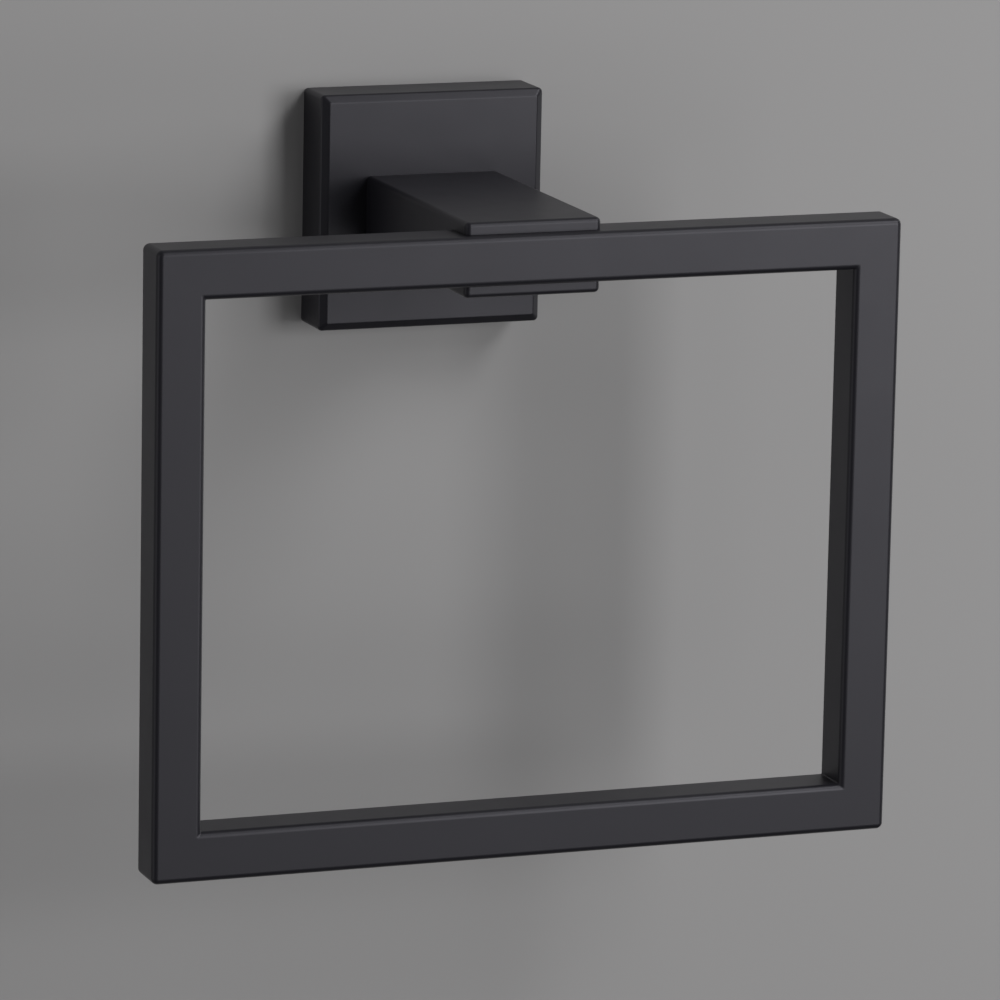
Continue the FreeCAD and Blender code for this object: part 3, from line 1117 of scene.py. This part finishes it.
@dataclass
class StudioWall:
    """The plain wall behind the flange, which shows from the front only, and the floor below."""

    width: float = 8.0
    gap: float = 0.2 * MM
    hole: float = 49.8 * MM
    colour: tuple[float, float, float, float] = (0.50, 0.494, 0.496, 1.0)
    roughness: float = 0.9

    def build(self) -> None:
        """Make the wall with an opening behind the flange, and the floor."""
        upright = Matrix.Translation((0, self.gap, 0)) @ Matrix.Rotation(math.radians(90), 4, "X")
        bm = bmesh.new()
        bmesh.ops.create_grid(bm, x_segments=1, y_segments=1, size=self.width / 2, matrix=upright)
        rim = (self.width - self.hole) / 2
        bmesh.ops.inset_individual(bm, faces=bm.faces[:], thickness=rim, use_even_offset=True)
        middle = min(bm.faces, key=lambda face: face.calc_area())
        bmesh.ops.delete(bm, geom=[middle], context="FACES_ONLY")
        floor = bmesh.new()
        level = Matrix.Translation((0, 0, -self.width / 2))
        bmesh.ops.create_grid(floor, x_segments=1, y_segments=1, size=self.width, matrix=level)
        paint = self.material()
        for name, mesh in (("studio_wall", bm), ("studio_floor", floor)):
            plane = mesh_object(name, mesh)
            plane.data.materials.append(paint)

    def material(self) -> bpy.types.Material:
        """Build the plain paint, clear from behind and to the light of the lamp behind the wall.

        Returns:
            The new material.
        """
        made = bpy.data.materials.new("studio_paint")
        made.use_nodes = True
        nodes, links = made.node_tree.nodes, made.node_tree.links
        paint = nodes["Principled BSDF"]
        paint.inputs["Roughness"].default_value = self.roughness
        paint.inputs["Base Color"].default_value = self.colour
        clear = nodes.new("ShaderNodeBsdfTransparent")
        ray = nodes.new("ShaderNodeLightPath")
        geometry = nodes.new("ShaderNodeNewGeometry")
        mix = nodes.new("ShaderNodeMixShader")
        either = nodes.new("ShaderNodeMath")
        either.operation = "MAXIMUM"
        links.new(geometry.outputs["Backfacing"], either.inputs[0])
        links.new(ray.outputs["Is Shadow Ray"], either.inputs[1])
        links.new(either.outputs["Value"], mix.inputs["Fac"])
        links.new(paint.outputs["BSDF"], mix.inputs[1])
        links.new(clear.outputs["BSDF"], mix.inputs[2])
        links.new(mix.outputs["Shader"], nodes["Material Output"].inputs["Surface"])
        return made


@dataclass
class SoftLight:
    """One soft box that faces its target."""

    name: str
    azimuth: float  # degrees to the right
    elevation: float  # degrees up
    width: float
    height: float
    radiance: float
    distance: float = 1.2
    target: tuple[float, float, float] = (0.0, -0.07, -0.05)

    def build(self) -> None:
        """Make the light and place it."""
        data = bpy.data.lights.new(self.name, "AREA")
        data.shape = "RECTANGLE"
        data.size = self.width
        data.size_y = self.height
        data.energy = self.radiance * math.pi * self.width * self.height
        azimuth, elevation = math.radians(self.azimuth), math.radians(self.elevation)
        level = math.cos(elevation)
        out = Vector((math.sin(azimuth) * level, -math.cos(azimuth) * level, math.sin(elevation)))
        light = bpy.data.objects.new(self.name, data)
        light.location = Vector(self.target) + out * self.distance
        light.rotation_euler = out.to_track_quat("Z", "Y").to_euler()
        light.visible_camera = False
        bpy.context.scene.collection.objects.link(light)


@dataclass
class Studio:
    """A soft key from the right in three parts, a high box, a left strip, a lamp behind and a dim world."""

    world_level: float = 0.09
    lights: list[SoftLight] = field(default_factory=lambda: [
        SoftLight("key", azimuth=31, elevation=6, width=0.5, height=0.46, radiance=5.4),
        SoftLight("key_upper", azimuth=30, elevation=26, width=0.42, height=0.42, radiance=2.6),
        SoftLight("key_lower", azimuth=22, elevation=-15, width=0.84, height=0.42, radiance=0.95),
        SoftLight("high", azimuth=50, elevation=46, width=0.42, height=0.44, radiance=5.3),
        SoftLight("left", azimuth=-78, elevation=5, width=0.84, height=2.52, radiance=0.8, distance=2.4),
        SoftLight("behind", azimuth=125, elevation=0, width=0.84, height=0.84, radiance=2.5),
    ])

    def build(self) -> None:
        """Light the scene."""
        scene = bpy.context.scene
        world = bpy.data.worlds.new("studio")
        world.use_nodes = True
        background = world.node_tree.nodes["Background"]
        background.inputs["Color"].default_value = (1.0, 1.0, 1.0, 1.0)
        background.inputs["Strength"].default_value = self.world_level
        scene.world = world
        for light in self.lights:
            light.build()
        scene.view_settings.view_transform = "Standard"


@dataclass
class PhotoCamera:
    """The camera at the photograph's viewing angle."""

    place: tuple[float, float, float] = (-0.481903, -1.336734, 0.236039)
    yaw: float = 20.6277
    pitch: float = 11.9729
    roll: float = 1.1135
    lens: float = 241.400
    sensor: float = 36.0
    clip: tuple[float, float] = (0.05, 20.0)

    def build(self) -> None:
        """Make the scene's camera."""
        data = bpy.data.cameras.new("photo_camera")
        data.lens = self.lens
        data.sensor_width = self.sensor
        data.clip_start, data.clip_end = self.clip
        camera = bpy.data.objects.new("photo_camera", data)
        turn = (
            Matrix.Rotation(math.radians(-self.yaw), 4, "Z")
            @ Matrix.Rotation(math.radians(90 - self.pitch), 4, "X")
            @ Matrix.Rotation(math.radians(self.roll), 4, "Z")
        )
        camera.matrix_world = Matrix.Translation(self.place) @ turn
        bpy.context.scene.collection.objects.link(camera)
        bpy.context.scene.camera = camera


def main() -> None:
    """Build the part, dress it and set the studio."""
    logging.basicConfig(level=logging.INFO, format="%(name)s: %(message)s")
    grain = grain_group()
    coat, zinc, plated, black = (
        finish.material(grain) for finish in (SATIN_COAT, ZINC_PLATE, PLATED_SCREW, BLACK_OXIDE)
    )
    for coated, node in ((RingPiece(), "ring"), (ArmPiece(), "arm"), (FlangePiece(), "wall_flange")):
        dress(coated.build(), coat, Slot.COAT, node)
    dress(BracketPiece().build(), zinc, Slot.ZINC, "wall_bracket")
    FixingScrews().build(plated, black)
    StudioWall().build()
    Studio().build()
    PhotoCamera().build()


if __name__ == "__main__":
    main()
